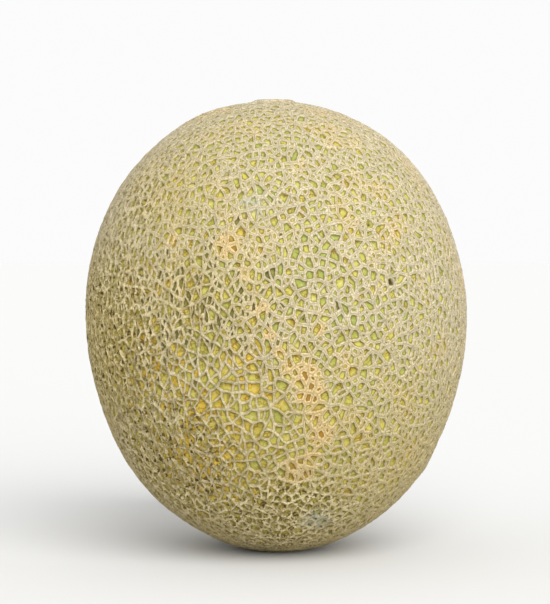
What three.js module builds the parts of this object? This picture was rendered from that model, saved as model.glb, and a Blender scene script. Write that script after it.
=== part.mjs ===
// A netted cantaloupe melon, picked ripe, standing on the small flat of its blossom end.
// The fruit grew as one piece, so it is one solid: a full egg-like body whose rind carries
// a raised corky net, drawn larger than life, with a dished stem scar on top.
// Millimetres, +Z up, origin on the ground under the middle of the fruit, -Y is the front.

import * as THREE from 'three';
import { ConvexHull } from 'three/addons/math/ConvexHull.js';

// Driving dimensions
const WIDTH = 145; // across the widest level, over the net
const HEIGHT = 171; // from the flat to the top
const WIDEST_LEVEL = 92.6; // height of the widest level
const TOP_FULLNESS = 2.01; // superellipse exponent of the upper half, 2 is an ellipse
const BOTTOM_FULLNESS = 2.06; // the lower half is a little boxier
const LEAN = 0.01; // sideways shift of the body for each millimetre of depth
const FLAT_RADIUS = 12; // the flat that the fruit stands on
const FLAT_SIDES = 14;
const FLAT_PRESS = 0.3; // how far the flat's skin is pressed back by the ground
const SCAR_RADIUS = 7; // the stem scar, to the top of its rim
const SCAR_SIDES = 12;
const SCAR_RIM = 0.6; // how far the rim stands above the net
const SCAR_DEPTH = 2.2; // from the net's tops to the floor of the scar
const SCAR_BOSS = 1.1; // how far the middle of the scar rises from that floor
const NET_RELIEF = 1.5; // from the rind up to the tops of the net
const NET_UNEVENNESS = 0.25; // how much of that relief comes and goes
const RIDGE_TOP = 2.2; // width of a ridge across its flat top
const RIDGE_FOOT = 4; // width of a ridge where its walls meet the rind
const SMALLEST_SHARE = 0.2; // a floor or a ridge's top keeps about this share of a small mesh
const NET_CELLS = 500; // meshes of the net, without the rings round both ends
const CELL_JITTER = 0.38; // how far a mesh is moved, in spacings
const SHORTEST_SIDE = 1.5; // sides of a mesh shorter than this are closed up
const END_GAP = 0.75; // between the rings round both ends and the other meshes, in spacings
const NET_SEED = 20; // another number moves the meshes another way
const WEAR_SEED = 7; // another number wears the net's corners another way
const RIND_COLOUR = 0xb9b07c;

// Broad swellings and flats of the body. Azimuth is from +X towards +Y, elevation is from
// the widest level, both in degrees, and height and spread are in millimetres and degrees.
const SWELLINGS = [
  { azimuth: 180, elevation: 68, spread: 9, height: 0.8 },
  { azimuth: 0, elevation: 54, spread: 14, height: 0.5 },
  { azimuth: 0, elevation: 17, spread: 13, height: -0.6 },
  { azimuth: 180, elevation: 22, spread: 14, height: -0.4 },
  { azimuth: 180, elevation: -14, spread: 12, height: 0.4 },
  { azimuth: 0, elevation: -47, spread: 4, height: 0.9 },
  { azimuth: 0, elevation: -37, spread: 6, height: -0.3 },
  { azimuth: 80, elevation: 35, spread: 22, height: 0.9 },
  { azimuth: 125, elevation: -25, spread: 20, height: -0.8 },
  { azimuth: 265, elevation: -8, spread: 24, height: 0.6 },
  { azimuth: 0, elevation: -8, spread: 20, height: 0.5 },
  { azimuth: 180, elevation: -45, spread: 14, height: 0.6 },
  { azimuth: 0, elevation: -50, spread: 14, height: 0.5 },
  { azimuth: 180, elevation: -69, spread: 7, height: -1.2 },
  { azimuth: 0, elevation: -69, spread: 7, height: -0.6 },
];

const CENTRE = new THREE.Vector3(0, 0, WIDEST_LEVEL);
const TOP_HALF = HEIGHT - WIDEST_LEVEL;
const FLAT_SAG = WIDEST_LEVEL * (2 * FLAT_RADIUS / WIDTH) ** BOTTOM_FULLNESS / BOTTOM_FULLNESS;
const BOTTOM_HALF = WIDEST_LEVEL + FLAT_SAG;
const TOP_STRETCH = 2 * TOP_HALF / WIDTH;
const BOTTOM_STRETCH = 2 * BOTTOM_HALF / WIDTH;

// A seeded random number from 0 to 1, so that the net is the same in every build.
function seededRandom(seed) {
  let state = seed;
  return () => {
    state = (state * 1664525 + 1013904223) % 4294967296;
    return state / 4294967296;
  };
}

function directionAt(azimuth, elevation) {
  const polar = THREE.MathUtils.degToRad(90 - elevation);
  const turn = THREE.MathUtils.degToRad(azimuth);
  return new THREE.Vector3(
    Math.sin(polar) * Math.cos(turn),
    Math.sin(polar) * Math.sin(turn),
    Math.cos(polar),
  );
}

// Distance from the centre to the tops of the net, in a direction.
function bodyRadius(direction) {
  const upper = direction.z > 0;
  const half = upper ? TOP_HALF : BOTTOM_HALF;
  const fullness = upper ? TOP_FULLNESS : BOTTOM_FULLNESS;
  const across = Math.hypot(direction.x, direction.y) / (WIDTH / 2);
  const along = Math.abs(direction.z) / half;
  const radius = (across ** fullness + along ** fullness) ** (-1 / fullness);
  return SWELLINGS.reduce((sum, swelling) => {
    const away = direction.angleTo(directionAt(swelling.azimuth, swelling.elevation));
    const spread = THREE.MathUtils.degToRad(swelling.spread);
    return sum + swelling.height * Math.exp(-((away / spread) ** 2));
  }, radius);
}

// The place of a point of the unit sphere on the fruit, some way below the tops of the net.
// The sphere is stretched into the body, and nothing goes below the ground.
function placeOnFruit(point, sink) {
  const stretch = point.z > 0 ? TOP_STRETCH : BOTTOM_STRETCH;
  const direction = new THREE.Vector3(point.x, point.y, point.z * stretch).normalize();
  const place = direction.clone().multiplyScalar(bodyRadius(direction) - sink);
  if (place.z < -WIDEST_LEVEL) place.multiplyScalar(-WIDEST_LEVEL / place.z);
  place.x -= LEAN * place.z;
  return place.add(CENTRE);
}

// A ring of points round an end of the unit sphere. With a point at the end itself, the
// mesh of the net there becomes a regular polygon, half as wide as the ring.
function ringAround(end, reach, sides) {
  const polar = 2 * Math.atan(reach);
  return Array.from({ length: sides }, (_, i) => {
    const turn = (2 * Math.PI * i) / sides;
    return new THREE.Vector3(
      Math.sin(polar) * Math.cos(turn),
      Math.sin(polar) * Math.sin(turn),
      Math.cos(polar) * end,
    );
  });
}

// Middles of the net's meshes on the unit sphere: both ends, the rings round them, and a
// golden spiral whose points are moved a little at random.
function meshMiddles() {
  const random = seededRandom(NET_SEED);
  const scarReach = SCAR_RADIUS / (WIDTH / 2);
  const flatReach = FLAT_RADIUS / (WIDTH / 2);
  const middles = [
    new THREE.Vector3(0, 0, 1),
    new THREE.Vector3(0, 0, -1),
    ...ringAround(1, scarReach, SCAR_SIDES),
    ...ringAround(-1, flatReach, FLAT_SIDES),
  ];
  const spacing = Math.sqrt((4 * Math.PI) / NET_CELLS);
  const highest = Math.cos(2 * Math.atan(scarReach) + END_GAP * spacing);
  const lowest = -Math.cos(2 * Math.atan(flatReach) + END_GAP * spacing);
  const goldenAngle = Math.PI * (3 - Math.sqrt(5));
  for (let i = 0; i < NET_CELLS; i++) {
    const z = THREE.MathUtils.lerp(highest, lowest, (i + 0.5) / NET_CELLS);
    const turn = i * goldenAngle;
    const ring = Math.sqrt(1 - z * z);
    const shift = new THREE.Vector3(random() - 0.5, random() - 0.5, random() - 0.5);
    const middle = new THREE.Vector3(ring * Math.cos(turn), ring * Math.sin(turn), z)
      .addScaledVector(shift, 2 * CELL_JITTER * spacing)
      .normalize();
    if (middle.z < highest && middle.z > lowest) middles.push(middle);
  }
  return middles;
}

// Reads how far round an axis of the unit sphere a point lies, as an angle.
function turnAbout(axis) {
  const side = new THREE.Vector3(-axis.y, axis.x, 0);
  if (side.lengthSq() < 1e-9) side.set(1, 0, 0);
  side.normalize();
  const up = axis.clone().cross(side);
  return (point) => Math.atan2(point.dot(up), point.dot(side));
}

// The net as meshes with shared corners. The hull of the middles joins each middle to its
// neighbours, and each face of the hull gives one corner, where three meshes meet.
// Corners that lie too close together are joined in one.
function netOver(middles) {
  const hull = new ConvexHull().setFromPoints(middles);
  const indexOf = new Map(middles.map((middle, i) => [middle, i]));
  const cornerOf = new Map(hull.faces.map((face, i) => [face, i]));
  const corners = hull.faces.map((face) => face.normal.clone().normalize());
  const joined = corners.map((_, i) => i);
  const rootOf = (i) => (joined[i] === i ? i : rootOf(joined[i]));
  const shortest = SHORTEST_SIDE / (WIDTH / 2);
  const around = middles.map(() => new Set());
  for (const face of hull.faces) {
    let edge = face.edge;
    do {
      around[indexOf.get(edge.head().point)].add(cornerOf.get(face));
      const here = rootOf(cornerOf.get(face));
      const there = rootOf(cornerOf.get(edge.twin.face));
      if (here !== there && corners[here].distanceTo(corners[there]) < shortest) {
        corners[here].add(corners[there]).normalize();
        joined[there] = here;
      }
      edge = edge.next;
    } while (edge !== face.edge);
  }
  const meshes = middles.map((middle, i) => {
    const turnOf = turnAbout(middle);
    const own = [...new Set([...around[i]].map(rootOf))];
    return own.sort((a, b) => turnOf(corners[a]) - turnOf(corners[b]));
  });
  return { corners, meshes };
}

// The distance from the middle of a mesh to its nearest side, on the fruit.
function reachOf(outline, middle) {
  const distances = outline.map((corner, i) => {
    const side = new THREE.Line3(corner, outline[(i + 1) % outline.length]);
    return side.closestPointToPoint(middle, true, new THREE.Vector3()).distanceTo(middle);
  });
  return Math.min(...distances) * (WIDTH / 2);
}

// The whole fruit: flat-topped ridges along the sides of the net's meshes, with sloping
// walls down to a floor in each mesh.
function melonGeometry() {
  const random = seededRandom(WEAR_SEED);
  const { corners, meshes } = netOver(meshMiddles());
  const [scar, flat] = meshes;
  const positions = [];
  const triangles = [];
  const addVertex = (point, sink) => {
    const place = placeOnFruit(point, sink);
    positions.push(place.x, place.y, place.z);
    return positions.length / 3 - 1;
  };
  const addFan = (ring) => {
    for (let k = 1; k < ring.length - 1; k++) triangles.push(ring[0], ring[k], ring[k + 1]);
  };
  const addBand = (outer, inner) => {
    outer.forEach((here, k) => {
      const next = (k + 1) % outer.length;
      triangles.push(here, outer[next], inner[next]);
      triangles.push(here, inner[next], inner[k]);
    });
  };
  const crestSink = corners.map((_, i) => {
    const worn = NET_RELIEF * NET_UNEVENNESS * random();
    return scar.includes(i) ? -SCAR_RIM : flat.includes(i) ? -FLAT_PRESS : worn;
  });
  const floorSink = (mesh) =>
    mesh === scar ? SCAR_DEPTH : mesh === flat ? -FLAT_PRESS : NET_RELIEF;
  const shouldersAt = corners.map(() => []);
  const shouldersAlong = new Map();

  for (const mesh of meshes) {
    const outline = mesh.map((i) => corners[i]);
    const middle = outline.reduce((sum, corner) => sum.add(corner), new THREE.Vector3());
    middle.normalize();
    const reach = reachOf(outline, middle);
    const shareLeft = (width) => Math.max(1 - width / reach, SMALLEST_SHARE * (2 - width / reach));
    const pointsAt = (share) => outline.map((corner) => middle.clone().lerp(corner, share).normalize());
    const shoulderPoints = pointsAt(shareLeft(RIDGE_TOP / 2));
    const shoulder = shoulderPoints.map((point, k) => addVertex(point, crestSink[mesh[k]]));
    const foot = pointsAt(shareLeft(RIDGE_FOOT / 2)).map((point) => addVertex(point, floorSink(mesh)));
    addBand(shoulder, foot);
    if (mesh === scar) {
      const boss = addVertex(middle, SCAR_DEPTH - SCAR_BOSS);
      foot.forEach((here, k) => triangles.push(here, foot[(k + 1) % foot.length], boss));
    } else {
      addFan(foot);
    }
    mesh.forEach((corner, k) => {
      const next = (k + 1) % mesh.length;
      shouldersAt[corner].push({ point: shoulderPoints[k], vertex: shoulder[k] });
      shouldersAlong.set(`${corner}-${mesh[next]}`, [shoulder[k], shoulder[next]]);
    });
  }

  for (const mesh of meshes) {
    mesh.forEach((corner, k) => {
      const next = mesh[(k + 1) % mesh.length];
      if (corner > next) return;
      const own = shouldersAlong.get(`${corner}-${next}`);
      const across = shouldersAlong.get(`${next}-${corner}`);
      addFan([own[1], own[0], across[1], across[0]]);
    });
  }
  corners.forEach((corner, i) => {
    const turnOf = turnAbout(corner);
    const round = shouldersAt[i].sort((a, b) => turnOf(a.point) - turnOf(b.point));
    addFan(round.map((shoulder) => shoulder.vertex));
  });

  const geometry = new THREE.BufferGeometry();
  geometry.setAttribute('position', new THREE.Float32BufferAttribute(positions, 3));
  geometry.setIndex(triangles);
  return geometry;
}

// The middle of the fruit's box is put over the origin.
function centred(geometry) {
  geometry.computeBoundingBox();
  const middle = geometry.boundingBox.getCenter(new THREE.Vector3());
  return geometry.translate(-middle.x, -middle.y, 0);
}

const melon = new THREE.Mesh(
  centred(melonGeometry()),
  new THREE.MeshStandardMaterial({ color: RIND_COLOUR, roughness: 0.75, metalness: 0 }),
);
melon.name = 'melon';

const group = new THREE.Group();
group.add(melon);

export default group;
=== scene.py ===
"""A netted cantaloupe melon: the corky net of its rind, and a pale studio to look at it in.

The rind is one closed mesh. Growth cracks are cut into the fruit's surface again and again,
until its meshes are as small as real ones, and each crack is then healed with a corky ridge.
Metres, +Z up, origin on the ground under the middle of the fruit, -Y is the front.
"""

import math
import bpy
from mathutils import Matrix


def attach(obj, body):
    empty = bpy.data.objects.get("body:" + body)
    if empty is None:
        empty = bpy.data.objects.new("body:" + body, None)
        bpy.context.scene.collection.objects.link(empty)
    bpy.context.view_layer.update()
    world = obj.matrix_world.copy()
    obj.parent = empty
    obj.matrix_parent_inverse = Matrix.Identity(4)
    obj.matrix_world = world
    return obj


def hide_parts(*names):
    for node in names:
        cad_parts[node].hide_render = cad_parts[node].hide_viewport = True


bl_info = {
    "name": "Netted Cantaloupe Melon",
    "version": (1, 0, 0),
    "blender": (4, 5, 0),
    "location": "3D View > Sidebar > Melon",
    "description": "Grows the netted rind of a cantaloupe melon and lights it in a pale studio",
    "category": "Add Mesh",
}

from functools import cache
from random import Random
from typing import NamedTuple

import bmesh
import bpy
import numpy as np
from bpy.props import FloatProperty, FloatVectorProperty, IntProperty, PointerProperty
from mathutils import Vector, noise

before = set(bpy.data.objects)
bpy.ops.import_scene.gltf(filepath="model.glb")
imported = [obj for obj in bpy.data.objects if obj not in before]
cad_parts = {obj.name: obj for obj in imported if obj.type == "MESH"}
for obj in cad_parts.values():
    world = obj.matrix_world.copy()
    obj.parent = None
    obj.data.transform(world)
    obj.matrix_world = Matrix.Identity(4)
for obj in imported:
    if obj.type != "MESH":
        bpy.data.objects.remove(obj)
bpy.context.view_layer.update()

NODE = "melon"
BODY = "root"
SLOT = "netted_rind"
RIND = "melon_rind"
MM = 0.001
UP = Vector((0, 0, 1))


# Places on the fruit


class Swelling(NamedTuple):
    """A broad swelling or flat of the body, in degrees and millimetres."""

    azimuth: float
    elevation: float
    spread: float
    height: float


SWELLINGS = (
    Swelling(azimuth=180, elevation=68, spread=9, height=0.8),
    Swelling(azimuth=0, elevation=54, spread=14, height=0.5),
    Swelling(azimuth=0, elevation=17, spread=13, height=-0.6),
    Swelling(azimuth=180, elevation=22, spread=14, height=-0.4),
    Swelling(azimuth=180, elevation=-14, spread=12, height=0.4),
    Swelling(azimuth=0, elevation=-47, spread=4, height=0.9),
    Swelling(azimuth=0, elevation=-37, spread=6, height=-0.3),
    Swelling(azimuth=80, elevation=35, spread=22, height=0.9),
    Swelling(azimuth=125, elevation=-25, spread=20, height=-0.8),
    Swelling(azimuth=265, elevation=-8, spread=24, height=0.6),
    Swelling(azimuth=0, elevation=-8, spread=20, height=0.5),
    Swelling(azimuth=180, elevation=-45, spread=14, height=0.6),
    Swelling(azimuth=0, elevation=-50, spread=14, height=0.5),
    Swelling(azimuth=180, elevation=-69, spread=7, height=-1.2),
    Swelling(azimuth=0, elevation=-69, spread=7, height=-0.6),
)


class Mark(NamedTuple):
    """A patch of the front that differs from the rest: millimetres, and how much it differs."""

    across: float
    up: float
    reach: float
    amount: float


class Pit(NamedTuple):
    """One mesh of the front that is deep in the middle, with painted shade there: millimetres, and
    how much.
    """

    across: float
    up: float
    amount: float


# A mark or a pit is given as a point of the upright plane y = 0. It lies on the front where the
# line from here to that point meets the fruit, which is found by halving the line
VIEWPOINT = np.array([-1, -708, 119]) * MM
SIGHT_HALVINGS = 24

# Where the ridges are thin
THIN = (
    Mark(across=-32, up=42, reach=40, amount=0.95),
    Mark(across=-62, up=80, reach=26, amount=0.4),
    Mark(across=6, up=62, reach=24, amount=0.35),
    Mark(across=-28, up=94, reach=24, amount=0.55),
)

# Where the meshes are wide
WIDE = (
    Mark(across=-22, up=50, reach=40, amount=1),
    Mark(across=8, up=52, reach=28, amount=0.75),
    Mark(across=-5, up=150, reach=18, amount=0.3),
)

# Where the meshes are smallest
FINE = (
    Mark(across=-42, up=100, reach=26, amount=1),
    Mark(across=-20, up=88, reach=16, amount=0.7),
)

# Where the meshes are cut taller
TALL = (
    Mark(across=-44, up=38, reach=28, amount=0.9),
    Mark(across=-46, up=112, reach=30, amount=1),
    Mark(across=-62, up=84, reach=30, amount=1),
    Mark(across=-28, up=95, reach=24, amount=0.7),
    Mark(across=64, up=92, reach=22, amount=0.6),
)

# Where upright ridges have split open and left deep gaps, painted dark with shade
SPLIT = (
    Mark(across=-24, up=92, reach=24, amount=1),
    Mark(across=-8, up=66, reach=20, amount=0.6),
    Mark(across=-50, up=76, reach=20, amount=0.6),
)

# Where the ridges are rough, with deeper meshes, painted highlights on their crests and painted
# shade in their crevices
ROUGH = (
    Mark(across=-66, up=85, reach=34, amount=1),
    Mark(across=-42, up=34, reach=32, amount=1),
    Mark(across=-30, up=88, reach=32, amount=0.45),
    Mark(across=-50, up=132, reach=24, amount=0.4),
    Mark(across=0, up=10, reach=26, amount=1),
    Mark(across=30, up=30, reach=20, amount=0.25),
)

# Where cork and skin have yellowed
STAINED = (
    Mark(across=-66, up=76, reach=36, amount=0.95),
    Mark(across=-34, up=96, reach=26, amount=0.45),
    Mark(across=-42, up=32, reach=32, amount=0.8),
    Mark(across=-42, up=134, reach=26, amount=0.4),
)

# Where the net has grown into a tan corky crust
CORKY = (
    Mark(across=-18.7, up=116, reach=4.5, amount=0.9),
    Mark(across=-39.5, up=118.5, reach=2.5, amount=0.6),
    Mark(across=-12, up=105, reach=3, amount=0.5),
    Mark(across=-5.3, up=91.4, reach=2.5, amount=0.8),
    Mark(across=-2.3, up=82, reach=2.5, amount=0.8),
    Mark(across=1.5, up=75, reach=2.5, amount=0.7),
    Mark(across=5, up=68.5, reach=3, amount=0.8),
    Mark(across=11.5, up=66, reach=5, amount=1),
    Mark(across=14, up=59, reach=5, amount=1),
    Mark(across=15.5, up=51, reach=4, amount=0.8),
    Mark(across=17.6, up=43.3, reach=4.5, amount=1),
    Mark(across=13.5, up=35, reach=4, amount=0.7),
    Mark(across=9, up=29.5, reach=5.5, amount=1),
    Mark(across=17, up=84, reach=2.5, amount=0.7),
)

# Where the skin has ripened to mustard and orange
RIPE = (
    Mark(across=-30, up=29, reach=24, amount=0.85),
    Mark(across=-46, up=66, reach=24, amount=0.6),
    Mark(across=-18, up=60, reach=20, amount=0.45),
    Mark(across=-50, up=100, reach=20, amount=0.35),
    Mark(across=-8, up=45, reach=28, amount=0.1),
    Mark(across=17.6, up=43.3, reach=3.5, amount=1),
    Mark(across=9, up=28, reach=4.5, amount=0.9),
    Mark(across=13.5, up=60, reach=5, amount=0.8),
)

# Where the rind has a grey bloom
GREYED = (
    Mark(across=-21, up=144, reach=5, amount=0.5),
    Mark(across=-8.8, up=132, reach=5, amount=0.8),
    Mark(across=15, up=10, reach=7, amount=0.8),
)

# Where the few pits are
PITS = (
    Pit(across=45.4, up=100.2, amount=1),
    Pit(across=37.4, up=124.6, amount=0.5),
    Pit(across=-24.2, up=111, amount=0.4),
    Pit(across=12.8, up=88.9, amount=0.5),
)


# Settings


def length(name, millimetres, description):
    return FloatProperty(
        name=name,
        description=description,
        default=millimetres * MM,
        precision=5,
        subtype="DISTANCE",
        unit="LENGTH",
    )


def share(name, default, description):
    return FloatProperty(name=name, description=description, default=default, min=0, max=1)


def number(name, default, description):
    return FloatProperty(name=name, description=description, default=default)


def degrees(name, default, description):
    return FloatProperty(
        name=name, description=description, default=math.radians(default), subtype="ANGLE"
    )


def whole(name, default, description):
    return IntProperty(name=name, description=description, default=default, min=0)


def linear(level):
    """The light of a screen's level, from 0 to 1, by the sRGB formula."""
    part = level / 255
    return ((part + 0.055) / 1.055) ** 2.4 if part > 0.04045 else part / 12.92


def colour(name, rgb, description):
    """A colour setting. rgb is what a screen shows, each from 0 to 255."""
    return FloatVectorProperty(
        name=name,
        description=description,
        default=[linear(level) for level in rgb],
        min=0,
        max=1,
        size=3,
        subtype="COLOR",
    )


class MelonBodySettings(bpy.types.PropertyGroup):
    """The form of the fruit, as in the CAD model."""

    width: length("Width", 145, "Across the widest level, over the net")
    height: length("Height", 171, "From the flat to the top")
    widest_level: length("Widest level", 92.6, "Height of the widest level")
    top_fullness: number("Top fullness", 2.01, "Superellipse exponent of the upper half")
    bottom_fullness: number("Bottom fullness", 2.06, "Superellipse exponent of the lower half")
    lean: number("Lean", 0.01, "Sideways shift of the body for each unit of depth")
    flat_radius: length("Flat radius", 12, "Radius of the flat that the fruit stands on")


class MelonNetSettings(bpy.types.PropertyGroup):
    """The meshes and ridges of the net."""

    first_cells: whole("First cells", 230, "Cells between the first, longest cracks")
    first_jitter: number("First jitter", 0.75, "How far those cells are moved, in spacings")
    usual_area: number("Usual mesh area", 7.4, "Square millimetres of most meshes, at most")
    fine_area: number("Fine mesh area", 6, "The same where the meshes are smallest")
    wide_area: number("Wide mesh area", 10.5, "The same where the meshes are wide")
    back_area: number("Back mesh area", 15.5, "The same at the back")
    small_area: number("Small mesh area", 7.5, "Smaller meshes are plain pits")
    slim_boldness: share("Slim boldness", 0.5, "Thinner ridges have no flat top")
    elongation: number("Elongation", 1.15, "How much taller than wide the meshes are cut")
    tallness: number("Tallness", 0.75, "How much more so in the places that are marked")
    sliver_share: share("Slivers", 0.1, "Share of the cuts that leave a long narrow mesh")
    seed: whole("Seed", 5, "Another number grows another net")
    shortest_side: length("Shortest side", 0.55, "Cuts keep this far from a corner")
    closest_corners: length("Closest corners", 1, "Corners nearer than this become one")
    longest_straight: length("Longest straight", 3.5, "Longer sides of a mesh are bent")
    ease: share("Ease", 0.38, "How far the corners are pulled level with their neighbours")
    wobble: share("Wobble", 0.24, "How far the corners wander, as a share of the side")
    relief: length("Relief", 0.8, "From the skin up to the top of a strong ridge")
    relief_spread: share("Relief spread", 0.45, "How much lower the weakest ridges are")
    rough_relief: share("Rough relief", 0.6, "How much deeper the meshes are where it is rough")
    thin_top: length("Thin ridge", 0.16, "Half the width of a thin ridge's top")
    bold_top: length("Bold ridge", 0.58, "Half the width of a bold ridge's top")
    crust_top: length("Crust ridge", 0.8, "How much wider a ridge's top is in a crust")
    wall: length("Wall", 0.33, "Width of the slope from a ridge's top to the skin")
    groove: length("Groove", 0.12, "Depth of the groove along the middle of a bold ridge")
    split_depth: length("Split depth", 0.4, "How much deeper a gap in a split ridge is")
    split_width: length("Split width", 1.75, "Upright meshes narrower than this can be gaps")
    split_share: share("Split share", 0.8, "Share of those meshes that are gaps, at most")
    grain: length("Grain", 0.07, "How uneven the ridges are along their tops")
    dome: length("Dome", 0.12, "How far the skin bulges in the middle of a mesh")
    pit_depth: length("Pit depth", 0.9, "How much deeper the pits are in the middle")


class MelonEndSettings(bpy.types.PropertyGroup):
    """The scars at both ends."""

    scar_radius: length("Stem scar radius", 7, "To the top of its rim")
    scar_sides: whole("Stem scar sides", 16, "First corners round the stem scar")
    scar_rim: length("Stem scar rim", 0.6, "How far the rim stands above the net")
    blossom_radius: length("Blossom scar radius", 4.5, "To the edge of the blossom scar")
    blossom_sides: whole("Blossom scar sides", 12, "First corners round the blossom scar")
    furrow: length("Furrow", 0.16, "How uneven the scars are")


class MelonColourSettings(bpy.types.PropertyGroup):
    """The colours of the net and of the skin in its meshes, with the painted shade and highlights
    laid over them.
    """

    cork_cream: colour("Cream cork", (196, 184, 157), "Most of the net")
    # Painted highlight: the bright crests of rough and thin ridges, as if lit
    painted_crest_highlight: colour("Pale cork", (222, 208, 168), "Bright crests of rough ridges")
    cork_tan: colour("Tan cork", (206, 178, 130), "Crusts of the net")
    cork_grey: colour("Grey cork", (158, 150, 124), "Weathered cork")
    cork_stained: colour("Stained cork", (184, 164, 98), "Cork that has yellowed")
    stain: colour("Stain", (172, 148, 58), "What cork and skin both yellow towards")
    # Partly the cork's own grey, partly painted shade in its grooves, crevices and pits
    groove: colour("Groove", (124, 114, 76), "Crevices of the cork")
    # Painted shade in the deep gap of a split ridge
    split: colour("Split", (74, 76, 44), "The gap where a ridge has split open")
    # Partly the olive cork at a ridge's foot, partly painted shade on its slope
    wall: colour("Wall", (134, 120, 66), "The foot of a ridge")
    # Painted shade: the skin darkened along the foot of each ridge and in narrow meshes
    rim: colour("Rim", (84, 84, 26), "The dark edge of the skin along a ridge")
    skin_yellow: colour("Yellow skin", (170, 164, 77), "Skin of a light mesh")
    skin_green: colour("Green skin", (136, 144, 68), "Skin of a green mesh")
    skin_mustard: colour("Mustard skin", (196, 160, 52), "Skin of a ripe mesh")
    # Painted shade: dark spots in the crevices of rough ridges
    painted_crevice_shade: colour("Fleck", (88, 72, 34), "Dark flecks in the crevices of a rough ridge")
    crack: colour("Crack", (132, 88, 26), "Healing cracks in the skin, and skin in a crust")
    bloom: colour("Bloom", (160, 166, 156), "Grey bloom on the rind")
    scar: colour("Scar", (142, 120, 84), "The dry middle of the stem scar")
    # Painted shade in the deep middle of the few pits
    pit: colour("Pit", (62, 52, 12), "The middle of the few dark meshes")


class MelonStudioSettings(bpy.types.PropertyGroup):
    """The floor, the lights and the camera."""

    floor_colour: colour("Floor", (200, 200, 199), "The pale floor")
    floor_radius: length("Floor radius", 8000, "Radius of the floor")
    sky: colour("Sky", (255, 255, 255), "The light all round")
    sky_strength: number("Sky strength", 0.97, "Strength of the light all round")
    key_strength: number("Key strength", 3.84, "Watts per square metre of the soft key light")
    key_spread: degrees("Key spread", 60, "How wide the key light looks from the fruit")
    key_azimuth: degrees("Key azimuth", 22, "Round from the front to the right")
    key_elevation: degrees("Key elevation", 33, "Height of the key light")
    lens: length("Lens", 110, "Focal length of the camera")
    camera_distance: length("Camera distance", 706, "From the fruit's middle to the camera")
    camera_elevation: degrees("Camera elevation", 2, "How far the camera looks down")
    aim_across: length("Aim across", -0.5, "Where the camera aims, right of the middle")
    aim_up: length("Aim height", 94.3, "Where the camera aims, above the ground")


# The form of the fruit


def direction_at(azimuth, elevation):
    turn = math.radians(azimuth)
    rise = math.radians(elevation)
    return np.array(
        [math.cos(rise) * math.cos(turn), math.cos(rise) * math.sin(turn), math.sin(rise)]
    )


def unit_rows(rows):
    return rows / np.linalg.norm(rows, axis=1)[:, None]


class Fruit:
    """The smooth body over the tops of the net. A way is a unit vector from its centre."""

    def __init__(self, body):
        self.radius = body.width / 2
        self.ground = body.widest_level
        self.lean = body.lean
        self.fullness = (body.top_fullness, body.bottom_fullness)
        narrowing = (body.flat_radius / self.radius) ** body.bottom_fullness
        flat_sag = body.widest_level * narrowing / body.bottom_fullness
        self.halves = (body.height - body.widest_level, body.widest_level + flat_sag)

    def reach(self, ways):
        """From the centre to the tops of the net."""
        upper = ways[:, 2] > 0
        half = np.where(upper, *self.halves)
        fullness = np.where(upper, *self.fullness)
        across = np.hypot(ways[:, 0], ways[:, 1]) / self.radius
        along = np.abs(ways[:, 2]) / half
        reach = (across**fullness + along**fullness) ** (-1 / fullness)
        for swelling in SWELLINGS:
            toward = direction_at(swelling.azimuth, swelling.elevation)
            away = np.degrees(np.arccos(np.clip(ways @ toward, -1, 1)))
            reach += swelling.height * MM * np.exp(-((away / swelling.spread) ** 2))
        return reach

    def places(self, ways, sink=0.0):
        """Places on the fruit, some way below the tops of the net and never below the ground."""
        places = ways * self.reach(ways)[:, None]
        low = places[:, 2] < -self.ground
        places[low] *= (-self.ground / places[low, 2])[:, None]
        places -= ways * np.broadcast_to(sink, len(ways))[:, None]
        places[:, 0] -= self.lean * places[:, 2]
        places[:, 2] = np.maximum(places[:, 2] + self.ground, 0)
        return places

    def ways(self, places):
        ways = np.array(places, float) - (0, 0, self.ground)
        ways[:, 0] += self.lean * ways[:, 2]
        return unit_rows(ways)

    def stretched(self, points):
        """Ways for points of the unit sphere, stretched with the body."""
        stretched = points.copy()
        stretched[:, 2] *= np.where(points[:, 2] > 0, *self.halves) / self.radius
        return unit_rows(stretched)

    def onto(self, place):
        return Vector(self.places(self.ways([place]))[0])

    @cache
    def front(self, mark):
        """The place on the front that a mark or a pit gives."""
        sight = np.array([mark.across, 0, mark.up]) * MM - VIEWPOINT
        outside, inside = 0.0, 1.0
        for _ in range(SIGHT_HALVINGS):
            part = (outside + inside) / 2
            way = VIEWPOINT + part * sight - (0, 0, self.ground)
            distance = np.linalg.norm(way)
            if distance > self.reach(way[None] / distance)[0]:
                outside = part
            else:
                inside = part
        return VIEWPOINT + inside * sight


def marked(fruit, places, marks):
    """How much each place is in any of the marks, from 0 to 1."""
    amount = np.zeros(len(places))
    for mark in marks:
        away = np.linalg.norm(places - fruit.front(mark), axis=1) / (mark.reach * MM)
        amount = np.maximum(amount, mark.amount * np.exp(-(away**2)))
    return amount


DRIFT_SIZE = 20 * MM
DRIFT_SHARE = 0.3
LEAST_BOLDNESS = 0.05


def boldness(fruit, places):
    """How broad the ridges are, from 0 to 1, with a slow drift over the fruit."""
    drift = np.array([noise.noise(Vector(place) / DRIFT_SIZE) for place in places])
    bold = 1 - marked(fruit, places, THIN) + DRIFT_SHARE * drift
    return np.clip(bold, LEAST_BOLDNESS, 1)


# The net


def ring_around(end, reach, sides):
    """Points round an end of the unit sphere. The cell between them is half as wide."""
    polar = 2 * math.atan(reach)
    return [
        (
            math.sin(polar) * math.cos(2 * math.pi * i / sides),
            math.sin(polar) * math.sin(2 * math.pi * i / sides),
            math.cos(polar) * end,
        )
        for i in range(sides)
    ]


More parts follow.
